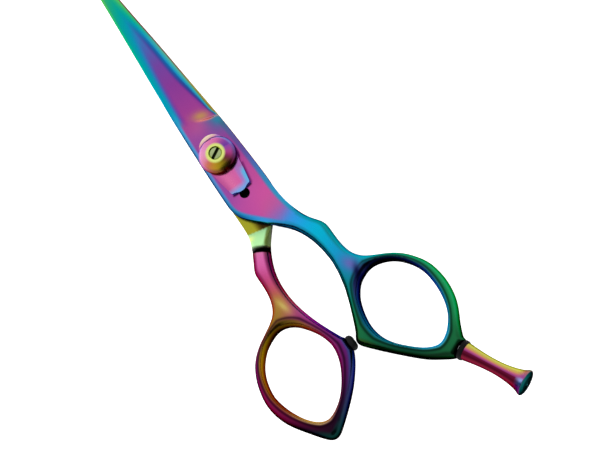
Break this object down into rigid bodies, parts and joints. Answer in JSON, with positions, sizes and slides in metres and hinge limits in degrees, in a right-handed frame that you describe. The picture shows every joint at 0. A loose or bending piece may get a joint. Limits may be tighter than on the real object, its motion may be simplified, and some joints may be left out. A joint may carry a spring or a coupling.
{
  "type": "thinning shears",
  "caption": "Offset-handle hair thinning shears: a plain blade and a toothed blade on a tension-dial pivot, two finger rings, a screw-in finger rest and a rubber bumper.",
  "frame": {"origin": "centre of the back face of the pivot bolt's head, on the pivot axis; it is the lowest face when the shears lie flat, and the ride plane between the halves is 4.25 mm above it", "axes": "+Z along the pivot axis towards the tension dial, +Y along the closed blades towards the tips, +X towards the finger ring; the shears lie flat"},
  "size_m": [0.0585, 0.1689, 0.0109],
  "materials": {
    "rainbow_finger": "polished steel with a rainbow titanium coating, magenta to blue to green",
    "rainbow_thumb": "polished steel with a rainbow titanium coating, magenta to gold",
    "rainbow_dial": "polished, rainbow coating, pink to yellow-green",
    "rainbow_plate": "polished, rainbow coating, pink",
    "rainbow_rest": "polished, rainbow coating, gold to magenta",
    "steel": "turned steel",
    "screw": "yellow-green coated steel",
    "bronze": "sintered bronze",
    "nylon": "natural nylon",
    "black_rubber": "matte black rubber"
  },
  "bodies": {
    "finger_side": {"finger_half": "rainbow_finger", "pivot_bolt": "steel", "thrust_washer": "nylon", "ride_washer": "nylon", "click_plate": "rainbow_plate", "dial_screw": "screw"},
    "thumb_side": {"thumb_half": "rainbow_thumb", "pivot_bush": "bronze", "ring_bumper": "black_rubber"},
    "dial_spring": {"cone_spring": "steel"},
    "dial": {"tension_dial": "rainbow_dial"},
    "rest_ring": {"rest_washer": "black_rubber"},
    "rest": {"finger_rest": "rainbow_rest", "rest_stud": "steel"}
  },
  "joints": [
    {"name": "blade_pivot", "type": "hinge", "parent": "finger_side", "child": "thumb_side", "pos_m": [0, 0, 0.00425], "axis": [0, 0, -1], "range_deg": [0, 140]},
    {"name": "dial_travel", "type": "slide", "parent": "finger_side", "child": "dial_spring", "axis": [0, 0, 1], "range_m": [0, 0.0002]},
    {"name": "dial_turn", "type": "hinge", "parent": "dial_spring", "child": "dial", "pos_m": [0, 0, 0.00925], "axis": [0, 0, 1], "range_deg": [0, 180]},
    {"name": "rest_travel", "type": "slide", "parent": "finger_side", "child": "rest_ring", "axis": [0.4305, -0.9026, 0], "range_m": [0, 0.003]},
    {"name": "rest_turn", "type": "hinge", "parent": "rest_ring", "child": "rest", "pos_m": [0.0213, -0.0775, 0.00425], "axis": [0.4305, -0.9026, 0], "range_deg": [0, 2160]}
  ],
  "couplings": [
    {"joint": "dial_turn", "follows": "dial_travel", "rad_per_m": 15708},
    {"joint": "rest_turn", "follows": "rest_travel", "rad_per_m": 12566}
  ]
}
